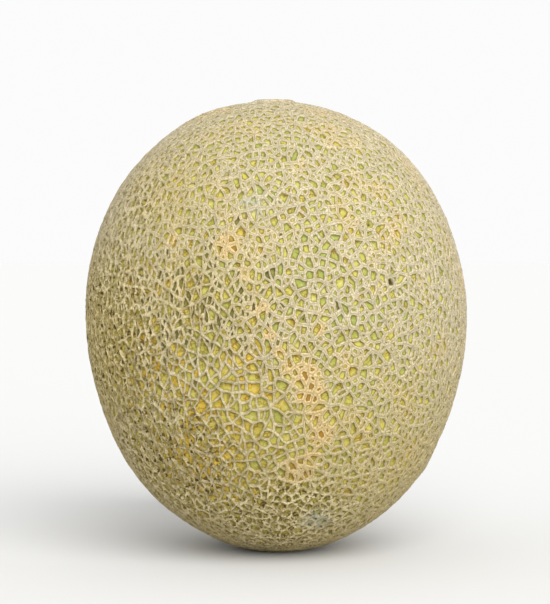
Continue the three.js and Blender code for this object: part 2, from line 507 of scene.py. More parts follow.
def first_middles(body, net, ends, random):
    """Middles of the first cells: both ends, rings round them, and a jittered golden spiral."""
    radius = body.width / 2
    scar_reach = ends.scar_radius / radius
    blossom_reach = ends.blossom_radius / radius
    middles = [(0, 0, 1), (0, 0, -1)]
    middles += ring_around(1, scar_reach, ends.scar_sides)
    middles += ring_around(-1, blossom_reach, ends.blossom_sides)
    spacing = math.sqrt(4 * math.pi / net.first_cells)
    highest = math.cos(2 * math.atan(scar_reach) + 0.5 * spacing)
    lowest = -math.cos(2 * math.atan(blossom_reach) + 0.5 * spacing)
    golden_angle = math.pi * (3 - math.sqrt(5))
    for i in range(net.first_cells):
        z = highest + (lowest - highest) * (i + 0.5) / net.first_cells
        ring = math.sqrt(1 - z * z)
        middle = Vector((ring * math.cos(i * golden_angle), ring * math.sin(i * golden_angle), z))
        shift = Vector([random.uniform(-1, 1) for _ in range(3)])
        middle = (middle + shift * net.first_jitter * spacing / 2).normalized()
        if lowest < middle.z < highest:
            middles.append(tuple(middle))
    return middles


def first_cells(fruit, middles, shortest):
    """A net of the cells nearest to each middle, as a bmesh on the fruit."""
    hull = bmesh.new()
    for middle in middles:
        hull.verts.new(middle)
    bmesh.ops.convex_hull(hull, input=hull.verts)
    hull.normal_update()
    hull.faces.index_update()
    corners = fruit.places(fruit.stretched(np.array([face.normal for face in hull.faces])))
    net = bmesh.new()
    verts = [net.verts.new(corner) for corner in corners]
    for middle in hull.verts:
        axis = middle.co.normalized()
        side = axis.orthogonal().normalized()
        up = axis.cross(side)
        around = sorted(
            middle.link_faces,
            key=lambda face: math.atan2(face.normal.dot(up), face.normal.dot(side)),
        )
        net.faces.new([verts[face.index] for face in around])
    hull.free()
    bmesh.ops.remove_doubles(net, verts=net.verts, dist=shortest)
    return net


def heading(turn):
    return np.array([math.cos(turn), math.sin(turn)])


def end_faces(net, fruit):
    """The faces round the stem scar and round the blossom scar."""
    net.faces.index_update()
    net.faces.ensure_lookup_table()
    along = fruit.ways([face.calc_center_median() for face in net.faces])[:, 2]
    return net.faces[along.argmax()], net.faces[along.argmin()]


# A way with more than this much of +Z in it has no clear level
NEAR_UPRIGHT = 0.999

# A cell's size is its area in target areas. It is left whole below some size between these
LEAST_CUT_SIZE = 1.05
MOST_CUT_SIZE = 2.5

# How far a cut strays: to the side, as a share of the cell's reach, and in radians
CUT_SHIFT = 0.14
CUT_TURN = 0.3

# A sliver is cut only from a cell smaller than this, and this far out to one side
MOST_SLIVER_SIZE = 2.6
SLIVER_SHIFT = 0.42

# The cracks of cells as large as this, or larger, are the strongest
STRONG_SIZE = 8

# A cut leaves at least this share of a side, where the side is short
SHORT_SIDE_SHARE = 0.35

# The meshes start to widen this far in front of the fruit's middle, in radii
BACK_STARTS = 0.2


class Cracker:
    """Cuts the cells of a net again and again, as the growing fruit's rind cracks."""

    def __init__(self, net, fruit, settings, random):
        self.net = net
        self.fruit = fruit
        self.settings = settings
        self.random = random
        self.strength = net.edges.layers.float.new("strength")
        for edge in net.edges:
            edge[self.strength] = 1.0

    def target_area(self, face):
        """How large a mesh should be here. The net is a little coarser behind."""
        settings = self.settings
        place = np.array(face.calc_center_median())
        behind = min(max(place[1] / self.fruit.radius + BACK_STARTS, 0), 1)
        area = settings.usual_area
        area += (settings.wide_area - area) * marked(self.fruit, place[None], WIDE)[0]
        area += (settings.fine_area - area) * marked(self.fruit, place[None], FINE)[0]
        area += (settings.back_area - area) * behind
        return area * MM**2

    def crack_all(self, kept_whole):
        waiting = [face for face in self.net.faces if face not in kept_whole]
        while waiting:
            face = waiting.pop()
            target = self.target_area(face)
            area = face.calc_area()
            if area < target * self.random.uniform(LEAST_CUT_SIZE, MOST_CUT_SIZE):
                continue
            new_face = self.crack(face, area / target)
            if new_face:
                waiting += [face, new_face]

    def crack(self, face, size):
        """Cuts a cell across its longer way, or now and then along it, near a side."""
        flat = self.laid_flat(face)
        spread = flat.T @ flat
        turn = 0.5 * math.atan2(2 * spread[0, 1], spread[0, 0] - spread[1, 1])
        shift = self.random.gauss(0, CUT_SHIFT) * np.abs(flat @ heading(turn)).max()
        turn += self.random.gauss(0, CUT_TURN)
        if size < MOST_SLIVER_SIZE and self.random.random() < self.settings.sliver_share:
            turn += math.pi / 2
            shift = self.random.choice((-1, 1)) * SLIVER_SHIFT * np.abs(flat @ heading(turn)).max()
        beyond = flat @ heading(turn) - shift
        crossings = []
        for loop, here, there in zip(list(face.loops), beyond, np.roll(beyond, -1)):
            if (here > 0) != (there > 0):
                crossings.append((loop.edge, loop.vert, here / (here - there)))
        if len(crossings) != 2:
            return None
        new_verts = [self.cut_edge(*crossing) for crossing in crossings]
        new_face, _ = bmesh.utils.face_split(face, *new_verts)
        strength = (size - 1) / (STRONG_SIZE - 1)
        self.net.edges.get(new_verts)[self.strength] = min(max(strength, 0), 1)
        return new_face

    def laid_flat(self, face):
        """A cell's corners, right and up as seen from outside. Up counts less where it is TALL."""
        middle = face.calc_center_median_weighted()
        out = (middle - Vector((0, 0, self.fruit.ground))).normalized()
        level = UP.cross(out).normalized() if abs(out.z) < NEAR_UPRIGHT else Vector((1, 0, 0))
        rise = out.cross(level)
        corners = [loop.vert.co - middle for loop in face.loops]
        flat = np.array([(corner.dot(level), corner.dot(rise)) for corner in corners])
        tall = marked(self.fruit, np.array(middle)[None], TALL)[0]
        flat[:, 1] /= self.settings.elongation + self.settings.tallness * tall
        return flat

    def cut_edge(self, edge, vert, part):
        margin = min(SHORT_SIDE_SHARE, self.settings.shortest_side / edge.calc_length())
        strength = edge[self.strength]
        part = min(max(part, margin), 1 - margin)
        new_edge, new_vert = bmesh.utils.edge_split(edge, vert, part)
        new_edge[self.strength] = strength
        new_vert.co = self.fruit.onto(new_vert.co)
        return new_vert

    def merge_close_corners(self):
        """Makes one corner of any that a very short side joins, so that ridges cross there."""
        closest = self.settings.closest_corners
        short = [edge for edge in self.net.edges if edge.calc_length() < closest]
        bmesh.ops.collapse(self.net, edges=short)

    def bend_long_edges(self):
        """Gives each long side of a mesh a corner more, so that it can bend."""
        longest = self.settings.longest_straight
        for edge in [e for e in self.net.edges if e.calc_length() > longest]:
            self.cut_edge(edge, edge.verts[0], 0.5)


class Cells:
    """The meshes of the net as flat arrays, with one row for each corner of each mesh."""

    def __init__(self, net, strength):
        for sequence in (net.verts, net.edges, net.faces):
            sequence.index_update()
        loops = [loop for face in net.faces for loop in face.loops]
        sides = np.array([len(face.loops) for face in net.faces])
        ends = np.cumsum(sides)
        self.cell = np.repeat(np.arange(len(sides)), sides)
        self.vert = np.array([loop.vert.index for loop in loops])
        self.edge = np.array([loop.edge.index for loop in loops])
        rows = np.arange(len(loops))
        is_last = rows + 1 == ends[self.cell]
        self.after = np.where(is_last, (ends - sides)[self.cell], rows + 1)
        self.before = np.empty_like(self.after)
        self.before[self.after] = rows
        self.ends_of_edge = np.array([[v.index for v in edge.verts] for edge in net.edges])
        self.strength = np.array([edge[strength] for edge in net.edges])
        self.count = len(sides)

    def sum_by_cell(self, rows):
        return np.column_stack(
            [np.bincount(self.cell, column, self.count) for column in np.atleast_2d(rows.T)]
        )

    def middles(self, places):
        """The middle of each mesh's outline."""
        here, there = places[self.vert], places[self.vert[self.after]]
        lengths = np.linalg.norm(there - here, axis=1)
        sums = self.sum_by_cell((here + there) / 2 * lengths[:, None])
        return sums / self.sum_by_cell(lengths[:, None])

    def mean_at_verts(self, edge_values, count):
        """The mean of the edges' values at each vertex."""
        ends = self.ends_of_edge.ravel()
        total = np.bincount(ends, np.repeat(edge_values, 2), count)
        return total / np.bincount(ends, minlength=count)


EASE_ROUNDS = 2
WANDER_SPREAD = 0.6


def eased(places, cells, fruit, settings, fixed, rng):
    """Corners pulled level with their neighbours and moved a little at random."""
    count = len(places)
    first, second = cells.ends_of_edge.T
    both = np.concatenate([first, second])
    other = np.concatenate([second, first])
    degree = np.bincount(both, minlength=count)[:, None]
    moved = places.copy()
    for _ in range(EASE_ROUNDS):
        pulled = np.column_stack([np.bincount(both, moved[other, i], count) for i in range(3)])
        moved += settings.ease * (pulled / degree - moved) * ~fixed[:, None]
    lengths = np.linalg.norm(moved[first] - moved[second], axis=1)
    shortest = np.full(count, np.inf)
    np.minimum.at(shortest, both, np.concatenate([lengths, lengths]))
    wander = rng.normal(0, WANDER_SPREAD, (count, 3)) * (settings.wobble * shortest)[:, None]
    moved += wander * ~fixed[:, None]
    return fruit.places(fruit.ways(moved))


OPENING_ROUNDS = 12
LEAST_HEIGHT = 0.12 * MM


def keep_open(places, wanted, cells, fruit):
    """As near to the wanted places as leaves each mesh open round its middle."""
    centre = np.array([0, 0, fruit.ground])
    for _ in range(OPENING_ROUNDS):
        middle = cells.middles(wanted)[cells.cell]
        here, there = wanted[cells.vert], wanted[cells.vert[cells.after]]
        turned = np.cross(here - middle, there - middle)
        out = unit_rows(middle - centre)
        side = np.linalg.norm(there - here, axis=1)
        height = np.einsum("ij,ij->i", turned, out) / side
        tight = height < LEAST_HEIGHT
        if not tight.any():
            break
        bad_cells = np.zeros(cells.count, bool)
        bad_cells[cells.cell[tight]] = True
        bad = cells.vert[bad_cells[cells.cell]]
        wanted[bad] += 0.5 * (places[bad] - wanted[bad])
    return wanted


def soft_limit(values, most):
    return most * (1 - np.exp(-values / most))


class Ring(NamedTuple):
    """A ring of a scar: its share of the way in, and how far below the net's tops it lies."""

    inward: float
    sink: float


SCAR_RINGS = (
    Ring(inward=0.1, sink=-0.5),
    Ring(inward=0.24, sink=0.9),
    Ring(inward=0.4, sink=2.0),
    Ring(inward=0.54, sink=2.2),
    Ring(inward=0.68, sink=1.7),
    Ring(inward=0.84, sink=1.25),
    Ring(inward=1.0, sink=1.1),
)
BLOSSOM_RINGS = (
    Ring(inward=0.16, sink=0.02),
    Ring(inward=0.34, sink=0.34),
    Ring(inward=0.55, sink=0.46),
    Ring(inward=0.78, sink=0.4),
    Ring(inward=1.0, sink=0.3),
)


def rounded_ends(places, cells, fruit, end_cells, radii):
    """The corners round each scar, moved onto a circle."""
    for cell, radius in zip(end_cells, radii):
        ring = cells.vert[cells.cell == cell]
        ways = fruit.ways(places[ring])
        flat = ways[:, :2] / np.linalg.norm(ways[:, :2], axis=1)[:, None]
        upright = math.copysign(1, ways[0, 2]) * fruit.halves[0 if ways[0, 2] > 0 else 1]
        places[ring] = fruit.places(
            unit_rows(np.column_stack([flat * radius, np.full(len(ring), upright)]))
        )
    return places


# Where a vertex lies across a ridge, from its crest to the middle of a mesh
CREST, SHOULDER, FOOT, MIDDLE = range(4)


class Fact(NamedTuple):
    """How far a vertex lies below the net's tops, and what the material is told there."""

    sink: float
    across: float
    tone: float = 0.5
    narrow: float = 0.0
    strong: float = 0.0
    split: float = 0.0
    scar: float = 0.0
    pit: float = 0.0


class Surface:
    """The rind's vertices and faces, with the facts of each vertex."""

    def __init__(self):
        self.ways = []
        self.facts = []
        self.faces = []
        self.count = 0

    def add(self, ways, fact):
        """Adds vertices and returns their numbers."""
        rows = len(ways)
        self.ways.append(ways)
        self.facts.append(np.column_stack([np.broadcast_to(column, rows) for column in fact]))
        self.count += rows
        return np.arange(self.count - rows, self.count)

    def band(self, outer, outer_next, inner, inner_next):
        self.faces += np.column_stack([outer, outer_next, inner_next, inner]).tolist()

    def fan(self, ring, ring_next, tip):
        self.faces += np.column_stack([ring, ring_next, np.broadcast_to(tip, len(ring))]).tolist()


def grow_rind(fruit, scene):
    """The whole surface: ridges over the sides of the meshes, skin inside them, and scars."""
    settings, ends = scene.melon_net, scene.melon_ends
    random = Random(settings.seed)
    rng = np.random.default_rng(settings.seed)
    middles = first_middles(scene.melon_body, settings, ends, random)
    net = first_cells(fruit, middles, settings.shortest_side)
    cracker = Cracker(net, fruit, settings, random)
    cracker.crack_all(set(end_faces(net, fruit)))
    cracker.merge_close_corners()
    cracker.bend_long_edges()
    end_cells = [face.index for face in end_faces(net, fruit)]
    cells = Cells(net, cracker.strength)
    places = np.array([vert.co for vert in net.verts])
    net.free()

    fixed = np.zeros(len(places), bool)
    fixed[cells.vert[np.isin(cells.cell, end_cells)]] = True
    places = rounded_ends(places, cells, fruit, end_cells, (ends.scar_radius, ends.blossom_radius))
    wanted = eased(places, cells, fruit, settings, fixed, rng)
    places = keep_open(places, wanted, cells, fruit)
    return Ridges(fruit, cells, places, settings, rng).surface(end_cells, ends)


# How much the wider and the narrower side at a corner count in how far a ridge reaches in
WIDER_COUNTS = 0.65
NARROWER_COUNTS = 0.35

# Shares of the way in to a mesh's middle
MOST_SHOULDER_IN = 0.66
MOST_SLOPE_IN = 0.88
LEAST_SLOPE = 0.08
MOST_FOOT_IN = 0.93

# The tops of the weakest ridges, and what the strongest have more, in usual tops
WEAK_TOP = 0.72
STRONG_TOP_MORE = 0.42

# How unevenly the ridges, the scar's rim and the skin are built: ranges of factors, and a spread
TOP_UNEVEN = (0.7, 1.3)
WALL_UNEVEN = (0.75, 1.3)
RING_UNEVEN = (0.82, 1.2)
RIM_UNEVEN = (0.6, 1)
DOME_UNEVEN = (0.2, 1)
STRENGTH_SPREAD = 0.12

# Half widths of a mesh's skin, between which its colour turns from the painted shade of the rim to
# its own
NARROW_SKIN = 0.2 * MM
OPEN_SKIN = 0.75 * MM

# Ridges as bold as this, or bolder, have the full groove
GROOVED_BOLDNESS = 0.625

# How much of a ridge's groove and of a mesh's depth a crust fills, and how much painted shade a
# pit's sides get
CRUST_IN_GROOVE = 0.7
CRUST_IN_MESH = 0.6
PIT_SIDES = 0.25


class Ridges:
    """Builds the corky ridges and the skin between them on the net's meshes."""

    def __init__(self, fruit, cells, places, settings, rng):
        self.fruit = fruit
        self.cells = cells
        self.settings = settings
        self.rng = rng
        self.places = places
        self.middles = cells.middles(places)
        self.here = places[cells.vert]
        self.to_middle = self.middles[cells.cell] - self.here
        along = places[cells.vert[cells.after]] - self.here
        self.side = np.linalg.norm(along, axis=1)
        self.height = np.linalg.norm(np.cross(along, self.to_middle), axis=1) / self.side
        self.area = np.bincount(cells.cell, self.side * self.height / 2, cells.count)
        self.bold = boldness(fruit, places)
        self.crust = marked(fruit, places, CORKY)

    def ways_in(self, rows, shares):
        """Ways that lie some share of the way in from the corners to their mesh's middle."""
        inner = self.here[rows] + self.to_middle[rows] * np.broadcast_to(shares, len(rows))[:, None]
        return self.fruit.ways(inner)

    def inward(self, width, most):
        """The share of the way in that leaves a ridge of that half width on both sides."""
        own = width / self.height
        both = np.stack([own, own[self.cells.before]])
        wider, narrower = both.max(axis=0), both.min(axis=0)
        return soft_limit(WIDER_COUNTS * wider + NARROWER_COUNTS * narrower, most)

    def shares_in(self, strength):
        """How far in a ridge's top and its foot end, at each corner of each mesh."""
        settings, rng = self.settings, self.rng
        bold = self.bold[self.cells.ends_of_edge].mean(axis=1)
        top = settings.thin_top + (settings.bold_top - settings.thin_top) * bold
        top = top * (WEAK_TOP + STRONG_TOP_MORE * strength) * rng.uniform(*TOP_UNEVEN, len(top))
        top += settings.crust_top * self.crust[self.cells.ends_of_edge].mean(axis=1)
        half = top[self.cells.edge]
        wall = settings.wall * rng.uniform(*WALL_UNEVEN, len(half))
        ragged = rng.uniform(*RING_UNEVEN, len(half))
        shoulder = self.inward(half, MOST_SHOULDER_IN) * ragged
        foot = self.inward(half + wall, MOST_SLOPE_IN) * (1 + ragged) / 2
        return shoulder, np.clip(foot, shoulder + LEAST_SLOPE, MOST_FOOT_IN)

    def split_open(self):
        """Which meshes are upright gaps, where a ridge has split open."""
        settings, cell = self.settings, self.cells.cell
        heights = self.places[self.cells.vert, 2]
        top = np.full(self.cells.count, -np.inf)
        bottom = np.full(self.cells.count, np.inf)
        np.maximum.at(top, cell, heights)
        np.minimum.at(bottom, cell, heights)
        tall = top - bottom
        slit = (self.area < settings.split_width * tall) & (2 * self.area < tall**2)
        chance = marked(self.fruit, self.middles, SPLIT) * settings.split_share
        return (slit & (self.rng.random(self.cells.count) < chance)).astype(float)

    def crest_sinks(self, top_sink, end_cells, ends):
        """How far below the net's tops the crests of the ridges lie, at each corner."""
        settings, rng = self.settings, self.rng
        grooved = np.clip(self.bold / GROOVED_BOLDNESS, 0, 1)
        grooved *= 1 - CRUST_IN_GROOVE * self.crust
        uneven = rng.normal(0, settings.grain, len(top_sink))
        sink = np.maximum(top_sink + settings.groove * grooved + uneven, 0)
        scar, blossom = (self.cells.vert[self.cells.cell == cell] for cell in end_cells)
        sink[scar] = -ends.scar_rim * rng.uniform(*RIM_UNEVEN, len(scar))
        sink[blossom] = 0
        return sink

    def floor_sinks(self, split):
        """How far below the net's tops the skin lies, in each mesh."""
        settings = self.settings
        crust = marked(self.fruit, self.middles, CORKY)
        rough = marked(self.fruit, self.middles, ROUGH)
        sink = settings.relief * (1 - CRUST_IN_MESH * crust) * (1 + settings.rough_relief * rough)
        return sink + settings.split_depth * split

    def pitted(self, is_small):
        """How deep each mesh's middle is and how much painted shade it gets: a pit is the nearest
        mesh that isn't small.
        """
        dark = np.zeros(self.cells.count)
        for pit in PITS:
            away = np.linalg.norm(self.middles - self.fruit.front(pit), axis=1)
            away[is_small] = np.inf
            dark[away.argmin()] = pit.amount
        return dark

    def surface(self, end_cells, ends):
        """The whole surface. A slim ridge has no flat top, and a small mesh has no flat floor."""
        cells, settings, rng = self.cells, self.settings, self.rng
        cell, corner = cells.cell, cells.vert
        uneven_strength = rng.normal(0, STRENGTH_SPREAD, len(cells.strength))
        strength = np.clip(cells.strength + uneven_strength, 0, 1)
        shoulder_in, foot_in = self.shares_in(strength)
        split = self.split_open()
        lower = settings.relief * settings.relief_spread * (1 - strength)
        top_sink = cells.mean_at_verts(lower, len(self.places))
        strong = np.zeros(len(self.places))
        np.maximum.at(strong, cells.ends_of_edge, strength[:, None])
        crest_sink = self.crest_sinks(top_sink, end_cells, ends)

        is_small = self.area < settings.small_area * MM**2
        slim = boldness(self.fruit, self.middles) < settings.slim_boldness
        small = ~slim & is_small
        dark = self.pitted(is_small)
        floor_sink = self.floor_sinks(split)
        # How narrow each mesh's open skin is: the material paints narrow meshes with shade
        opening = np.bincount(cell, self.height * (1 - foot_in)) / np.bincount(cell)
        narrow = np.clip((OPEN_SKIN - opening) / (OPEN_SKIN - NARROW_SKIN), 0, 1)
        tone = rng.random(cells.count)

        surface = Surface()
        crest_fact = Fact(crest_sink, CREST, strong=strong)
        crest = surface.add(self.fruit.ways(self.places), crest_fact)[corner]
        inside = ~np.isin(cell, end_cells)
        uneven = np.abs(rng.normal(0, settings.grain, len(cell)))
        shoulder_sink = top_sink[corner] + uneven
        rings = (
            (SHOULDER, ~slim[cell], shoulder_in, shoulder_sink, strong[corner]),
            (FOOT, ~small[cell], foot_in, floor_sink[cell], np.zeros(len(cell))),
        )
        outer = crest
        for across, wanted, inward, sink, strong_here in rings:
            rows = np.flatnonzero(inside & wanted)
            own = cell[rows]
            told = (tone[own], narrow[own], strong_here[rows], split[own])
            fact = Fact(sink[rows], across, *told, pit=PIT_SIDES * dark[own])
            inner = outer.copy()
            inner[rows] = surface.add(self.ways_in(rows, inward[rows]), fact)
            after = cells.after[rows]
            surface.band(outer[rows], outer[after], inner[rows], inner[after])
            outer = inner

        own = np.unique(cell[inside])
        tip_sink = floor_sink + settings.pit_depth * dark
        tip_sink -= settings.dome * rng.uniform(*DOME_UNEVEN, cells.count) * ~small
        told = (tone[own], narrow[own], 0, split[own])
        tips = np.zeros(cells.count, int)
        tip_fact = Fact(tip_sink[own], MIDDLE, *told, pit=dark[own])
        tips[own] = surface.add(self.fruit.ways(self.middles[own]), tip_fact)
        rows = np.flatnonzero(inside)
        surface.fan(outer[rows], outer[cells.after[rows]], tips[cell[rows]])
        for end_cell, scar_rings in zip(end_cells, (SCAR_RINGS, BLOSSOM_RINGS)):
            self.add_scar(surface, end_cell, crest, scar_rings, ends)
        return surface

    def add_scar(self, surface, end_cell, crest, rings, ends):
        """A dished scar inside the ring of corners round one end."""
        corners = np.flatnonzero(self.cells.cell == end_cell)
        outer = crest[corners]
        for ring in rings[:-1]:
            sink = ring.sink * MM + self.rng.normal(0, ends.furrow, len(corners))
            fact = Fact(np.maximum(sink, -ends.scar_rim), SHOULDER, scar=1)
            inner = surface.add(self.ways_in(corners, ring.inward), fact)
            surface.band(outer, np.roll(outer, -1), inner, np.roll(inner, -1))
            outer = inner
        middle = self.fruit.ways(self.middles[[end_cell]])
        tip = surface.add(middle, Fact(rings[-1].sink * MM, SHOULDER, scar=1))
        surface.fan(outer, np.roll(outer, -1), tip)


# The rind's mesh


MARKINGS = {
    "rough": ROUGH,
    "stained": STAINED,
    "crust": CORKY,
    "ripe": RIPE,
    "greyed": GREYED,
}
ATLAS_COLUMNS = 3
ATLAS_ROWS = 2
ATLAS_MARGIN = 0.04


def unfold(mesh, ways):
    """Lays the surface out as the six sides of a cube, three to a row, in the bake's map."""
    corner_verts = np.empty(len(mesh.loops), int)
    mesh.loops.foreach_get("vertex_index", corner_verts)
    totals = np.empty(len(mesh.polygons), int)
    mesh.polygons.foreach_get("loop_total", totals)
    face_of = np.repeat(np.arange(len(totals)), totals)
    corner_ways = ways[corner_verts]
    face_ways = np.column_stack([np.bincount(face_of, corner_ways[:, i]) for i in range(3)])
    axis = np.abs(face_ways).argmax(axis=1)
    positive = np.take_along_axis(face_ways, axis[:, None], 1)[:, 0] > 0
    tile = (axis * 2 + positive)[face_of]
    axis = axis[face_of]
    rows = np.arange(len(corner_verts))
    facing = np.abs(corner_ways[rows, axis])
    spots = []
    for turn in (1, 2):
        angle = np.arctan2(corner_ways[rows, (axis + turn) % 3], facing) / (math.pi / 4)
        spots.append(0.5 + 0.5 * (1 - ATLAS_MARGIN) * angle)
    u = (tile % ATLAS_COLUMNS + spots[0]) / ATLAS_COLUMNS
    v = (tile // ATLAS_COLUMNS + spots[1]) / ATLAS_ROWS
    layer = mesh.uv_layers.new(name="OFBake")
    layer.data.foreach_set("uv", np.column_stack([u, v]).ravel().astype(np.float32))


def rind_object(context):
    """The rind, with what its material is told, centred over the origin as the solid is."""
    fruit = Fruit(context.scene.melon_body)
    surface = grow_rind(fruit, context.scene)
    ways = np.concatenate(surface.ways)
    facts = np.concatenate(surface.facts).T
    told = dict(zip(Fact._fields, facts))
    places = fruit.places(ways, told.pop("sink"))
    told["bold"] = boldness(fruit, places)
    for name, marks in MARKINGS.items():
        told[name] = marked(fruit, places, marks)
    middle = (places.min(axis=0) + places.max(axis=0)) / 2
    mesh = bpy.data.meshes.new(RIND)
    mesh.from_pydata(places - (middle[0], middle[1], 0), [], surface.faces)
    for name, values in told.items():
        attribute = mesh.attributes.new(name, "FLOAT", "POINT")
        attribute.data.foreach_set("value", values.astype(np.float32))
    unfold(mesh, ways)
    mesh.shade_smooth()
    rind = bpy.data.objects.new(RIND, mesh)
    context.collection.objects.link(rind)
    return rind


# The rind's material


def math_node(operation, reflected=False):
    """A method that adds a Math node. A reflected one takes the other value first."""

    def method(self, other):
        values = (other, self) if reflected else (self, other)
        return self.maker.node("Math", {"operation": operation}, dict(enumerate(values)))

    return method


class Value:
    """A socket of a material. Sums written with it add Math nodes."""

    def __init__(self, maker, socket):
        self.maker = maker
        self.socket = socket

    __add__ = math_node("ADD")
    __radd__ = math_node("ADD", reflected=True)
    __sub__ = math_node("SUBTRACT")
    __rsub__ = math_node("SUBTRACT", reflected=True)
    __mul__ = math_node("MULTIPLY")
    __rmul__ = math_node("MULTIPLY", reflected=True)
    most = math_node("MAXIMUM")

    def rise(self, low, high):
        """0 below low, 1 above high, and smooth between them. High may be the lower one."""
        return self.maker.node(
            "MapRange",
            {"interpolation_type": "SMOOTHSTEP"},
            {"Value": self, "From Min": low, "From Max": high},
        )


class Maker:
    """Makes one material's nodes."""

    def __init__(self, name):
        self.material = bpy.data.materials.new(name)
        self.material.use_nodes = True
        self.tree = self.material.node_tree
        self.tree.nodes.clear()

    def node(self, kind, settings=None, values=None, output=0):
        """A node of a type. Its settings are set first, then its sockets' values or links."""
        node = self.tree.nodes.new("ShaderNode" + kind)
        for name, setting in (settings or {}).items():
            setattr(node, name, setting)
        for name, value in (values or {}).items():
            if isinstance(value, Value):
                self.tree.links.new(value.socket, node.inputs[name])
            else:
                node.inputs[name].default_value = value
        return Value(self, node.outputs[output]) if node.outputs else node

    def attribute(self, name):
        return self.node("Attribute", {"attribute_name": name}, output="Fac")

    def mix(self, factor, first, second):
        """One colour turning into another. A plain colour may have three numbers."""
        a, b = (c if isinstance(c, Value) else (*c[:3], 1) for c in (first, second))
        return self.node("Mix", {"data_type": "RGBA"}, {0: factor, 6: a, 7: b}, output=2)

    def noise(self, place, size, detail=2.0, roughness=0.5):
        """Smooth noise from 0 to 1, with lumps of about that size in metres."""
        return self.node(
            "TexNoise",
            None,
            {"Vector": place, "Scale": 1 / size, "Detail": detail, "Roughness": roughness},
        )

    def cracks(self, place, size):
        """The distance from the nearest of many fine cracks, in cells of that size."""
        return self.node(
            "TexVoronoi",
            {"feature": "DISTANCE_TO_EDGE"},
            {"Vector": place, "Scale": 1 / size},
        )


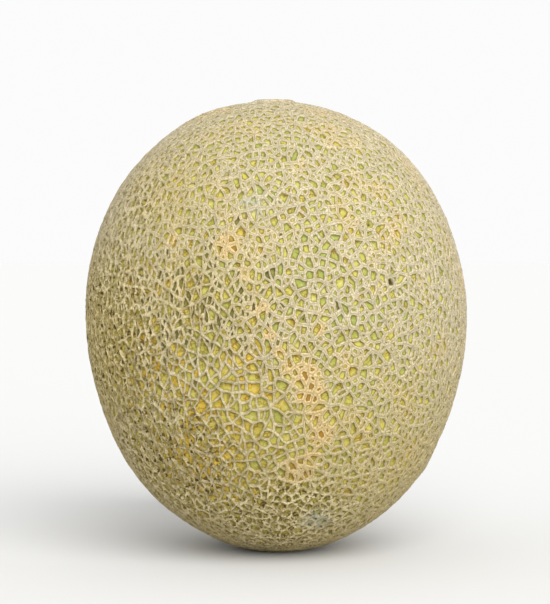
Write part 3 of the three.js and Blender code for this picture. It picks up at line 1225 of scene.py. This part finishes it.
class RindLook:
    """The rind's colours, and the textures and facts that say where each one shows."""

    def __init__(self, maker, colours):
        self.maker = maker
        self.colours = colours
        self.place = maker.node("TexCoord", output="Object")
        self.tone = maker.attribute("tone")
        self.bold = maker.attribute("bold")
        self.crust = maker.attribute("crust")
        self.fine = maker.noise(self.place, 0.5 * MM, 3, 0.7)
        self.grains = maker.noise(self.place, 1.1 * MM, 2, 0.6)
        self.lumps = maker.noise(self.place, 2.6 * MM)
        self.clouds = maker.noise(self.place, 14 * MM)
        self.drift = maker.noise(self.place, 34 * MM, 1)
        self.crevices = maker.cracks(self.place, 1.3 * MM).rise(0.12, 0.02)
        self.rough = (maker.attribute("rough") + 0.6 * (self.drift - 0.5)).rise(0.1, 0.8)
        # The stained amount also rises towards the bottom, so the rind is yellower low down
        low = maker.node("SeparateXYZ", None, {"Vector": self.place}, output="Z").rise(0.1, 0.03)
        self.stained = maker.attribute("stained").most(low * 0.5)

        # Where a spot lies from CREST to MIDDLE, with edges as ragged as the cork is rough
        across = maker.attribute("across")
        self.ragged = across + (self.grains - 0.5) * (1.6 + 3.4 * self.rough)

    def cork(self):
        """The colour of the net, from its broad patches to its finest flakes, with painted shade in
        its grooves and painted highlights.
        """
        mix, colours, lumps, fine = self.maker.mix, self.colours, self.lumps, self.fine
        cork = mix(lumps.rise(0.35, 0.65) * 0.55, colours.cork_cream, colours.cork_grey)
        cork = mix(self.clouds.rise(0.45, 0.75) * 0.45, cork, colours.cork_tan)
        cork = mix(self.stained * 0.7, cork, colours.cork_stained)
        cork = mix(self.crust.rise(0.1, 0.5) * 0.95, cork, colours.cork_tan)
        # The groove colour along bold ridges, in fine crevices and in fine spots: partly the cork's
        # grey, partly painted shade
        groove = self.ragged.rise(0.6, 0.2) * self.bold.rise(0.2, 0.6)
        cork = mix(groove * 0.5, cork, colours.groove)
        cork = mix(self.crevices * self.grains.rise(0.4, 0.6) * 0.7, cork, colours.groove)
        # Painted shade: dark patches in rough cork
        cork = mix(lumps.rise(0.48, 0.6) * self.rough * 0.5, cork, colours.wall)
        cork = mix(fine.rise(0.55, 0.75) * 0.8, cork, colours.cork_cream)
        # Painted highlight on the crests of thin ridges
        thin = self.bold.rise(0.6, 0.2)
        cork = mix(thin * lumps.rise(0.6, 0.4) * 0.45, cork, colours.painted_crest_highlight)
        # Painted highlight on the crests of strong rough ridges
        crest = self.ragged.rise(0.8, 0.2) * self.maker.attribute("strong").rise(0.1, 0.8)
        cork = mix(crest * self.rough * lumps.rise(0.62, 0.45) * 0.9, cork, colours.painted_crest_highlight)
        return mix(fine.rise(0.5, 0.32) * (0.4 + 0.5 * self.rough), cork, colours.groove)

    def skin(self):
        """The colour of the skin in the meshes: yellow, green and ripe, with healed cracks and
        painted shade at the ridges.
        """
        maker, mix, colours, lumps = self.maker, self.maker.mix, self.colours, self.lumps
        greenness = (self.tone + 0.6 * (self.drift - 0.5)).rise(0.15, 0.8)
        skin = mix(greenness, colours.skin_yellow, colours.skin_green)
        ripe = maker.attribute("ripe") + 1.2 * (self.clouds - 0.5) + 0.7 * (self.tone - 0.5)
        ripe = ripe.rise(0.1, 0.8).most(self.stained * 0.35)
        skin = mix(ripe * 0.85, skin, colours.skin_mustard)
        scribbles = maker.cracks(self.place, 2.1 * MM).rise(0.12, 0.03)
        skin = mix(scribbles * lumps.rise(0.5, 0.35) * 0.35, skin, colours.cork_cream)
        skin = mix(scribbles * lumps.rise(0.45, 0.6) * 0.85, skin, colours.crack)
        skin = mix(self.crust.rise(0.4, 0.75) * 0.9, skin, colours.crack)
        # Painted shade along the foot of each ridge, and over the whole skin of a narrow mesh
        rim = self.ragged.rise(2.5, 2.05) * (0.5 + 0.2 * self.rough)
        return mix(rim.most(maker.attribute("narrow") * 0.65), skin, colours.rim)

    def rind(self):
        """The colour of cork, skin and what lies over both, with painted shade on the walls and in
        gaps, crevices and pits.
        """
        maker, mix, colours, ragged = self.maker, self.maker.mix, self.colours, self.ragged
        # The slope from a ridge's top down to the skin, darkened: partly the cork's olive foot,
        # partly painted shade
        wall = ragged.rise(1.1, 1.8) * (0.5 + 0.35 * self.bold.rise(0.2, 0.6))
        rind = mix(wall, self.cork(), colours.wall)
        rind = mix(ragged.rise(1.7, 1.95), rind, self.skin())
        rind = mix(self.stained * 0.22, rind, colours.stain)
        # Painted shade in the gaps of split ridges
        rind = mix(maker.attribute("split") * ragged.rise(1.2, 1.7) * 0.55, rind, colours.split)
        # Painted shade in the crevices of rough ridges
        crevice_shade = maker.noise(self.place, 1.7 * MM, 1).rise(0.44, 0.36) * ragged.rise(0.6, 1.1)
        rind = mix(crevice_shade * self.rough, rind, colours.painted_crevice_shade)
        patchy = 0.25 + 0.75 * self.lumps.rise(0.4, 0.6)
        rind = mix(maker.attribute("greyed").rise(0.1, 0.9) * patchy * 0.65, rind, colours.bloom)
        rind = mix(maker.attribute("scar") * (0.55 + 0.4 * self.lumps), rind, colours.scar)
        # Painted shade in the deep middle of a pit
        return mix(maker.attribute("pit").rise(0.15, 0.5), rind, colours.pit)

    def shader(self):
        is_skin = self.ragged.rise(1.6, 2.1)
        flaky = (self.fine + self.grains - 0.6 * self.crevices) * (1 - 0.75 * is_skin)
        bump = {"Strength": 0.7, "Distance": 0.3 * MM, "Height": flaky + 0.5 * self.lumps}
        return self.maker.node(
            "BsdfPrincipled",
            None,
            {
                "Base Color": self.rind(),
                "Roughness": 0.88 - 0.3 * is_skin + 0.1 * (self.fine - 0.5),
                "Normal": self.maker.node("Bump", None, bump),
                "IOR": 1.45,
                "Specular IOR Level": 0.25,
            },
        )


def rind_material(colours):
    maker = Maker(SLOT)
    maker.node("OutputMaterial", None, {"Surface": RindLook(maker, colours).shader()})
    return maker.material


class MELON_OT_rind(bpy.types.Operator):
    """Grow the netted rind of the melon"""

    bl_idname = "melon.rind"
    bl_label = "Grow Rind"
    bl_options = {"REGISTER", "UNDO"}

    def execute(self, context):
        rind = rind_object(context)
        rind.data.materials.append(rind_material(context.scene.melon_colours))
        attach(rind, BODY)
        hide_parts(NODE)
        return {"FINISHED"}


# The studio


FLOOR_SIDES = 96
FLOOR_ROUGHNESS = 0.9


def plain_material(name, rgb, roughness):
    maker = Maker(name)
    shader = maker.node(
        "BsdfPrincipled", None, {"Base Color": (*rgb[:3], 1), "Roughness": roughness}
    )
    maker.node("OutputMaterial", None, {"Surface": shader})
    return maker.material


def around(target, azimuth, elevation, distance):
    """A place round the target. Azimuth 0 is in front, and it turns towards the right."""
    return target + distance * Vector(
        (
            math.sin(azimuth) * math.cos(elevation),
            -math.cos(azimuth) * math.cos(elevation),
            math.sin(elevation),
        )
    )


def aim(thing, target):
    thing.rotation_euler = (target - thing.location).to_track_quat("-Z", "Y").to_euler()


class MELON_OT_studio(bpy.types.Operator):
    """Set up the pale floor, the soft light and the camera"""

    bl_idname = "melon.studio"
    bl_label = "Set Up Studio"
    bl_options = {"REGISTER", "UNDO"}

    def execute(self, context):
        studio = context.scene.melon_studio
        self.floor(context, studio)
        self.sky(context, studio)
        self.key(context, studio)
        self.camera(context, studio)
        return {"FINISHED"}

    def floor(self, context, studio):
        mesh = bpy.data.meshes.new("floor")
        disc = bmesh.new()
        bmesh.ops.create_circle(
            disc, cap_ends=True, segments=FLOOR_SIDES, radius=studio.floor_radius
        )
        disc.to_mesh(mesh)
        disc.free()
        floor = bpy.data.objects.new("floor", mesh)
        mesh.materials.append(plain_material("pale_floor", studio.floor_colour, FLOOR_ROUGHNESS))
        context.collection.objects.link(floor)

    def sky(self, context, studio):
        world = bpy.data.worlds.new("soft_sky")
        world.use_nodes = True
        background = world.node_tree.nodes["Background"]
        background.inputs["Color"].default_value = (*studio.sky, 1)
        background.inputs["Strength"].default_value = studio.sky_strength
        context.scene.world = world
        context.scene.view_settings.view_transform = "Standard"

    def key(self, context, studio):
        light = bpy.data.lights.new("key", "SUN")
        light.energy = studio.key_strength
        light.angle = studio.key_spread
        key = bpy.data.objects.new("key", light)
        key.location = around(Vector(), studio.key_azimuth, studio.key_elevation, 1)
        aim(key, Vector())
        context.collection.objects.link(key)

    def camera(self, context, studio):
        camera = bpy.data.objects.new("camera", bpy.data.cameras.new("camera"))
        camera.data.lens = studio.lens / MM
        target = Vector((studio.aim_across, 0, studio.aim_up))
        camera.location = around(target, 0, studio.camera_elevation, studio.camera_distance)
        aim(camera, target)
        context.collection.objects.link(camera)
        context.scene.camera = camera


class MELON_PT_panel(bpy.types.Panel):
    """The melon's settings and what makes it"""

    bl_idname = "MELON_PT_panel"
    bl_label = "Netted Melon"
    bl_space_type = "VIEW_3D"
    bl_region_type = "UI"
    bl_category = "Melon"

    def draw(self, context):
        for name, (group, label) in SETTINGS.items():
            box = self.layout.box()
            box.label(text=label)
            settings = getattr(context.scene, name)
            for setting in group.__annotations__:
                box.prop(settings, setting)
        for operator in OPERATORS:
            self.layout.operator(operator.bl_idname)


SETTINGS = {
    "melon_body": (MelonBodySettings, "Body"),
    "melon_net": (MelonNetSettings, "Net"),
    "melon_ends": (MelonEndSettings, "Scars"),
    "melon_colours": (MelonColourSettings, "Colours"),
    "melon_studio": (MelonStudioSettings, "Studio"),
}
OPERATORS = (MELON_OT_rind, MELON_OT_studio)
CLASSES = (*(group for group, _ in SETTINGS.values()), *OPERATORS, MELON_PT_panel)


def register():
    for each in CLASSES:
        bpy.utils.register_class(each)
    for name, (group, _) in SETTINGS.items():
        setattr(bpy.types.Scene, name, PointerProperty(type=group))


def unregister():
    for name in SETTINGS:
        delattr(bpy.types.Scene, name)
    for each in reversed(CLASSES):
        bpy.utils.unregister_class(each)


def main():
    register()
    bpy.ops.melon.rind()
    bpy.ops.melon.studio()


if __name__ == "__main__":
    main()
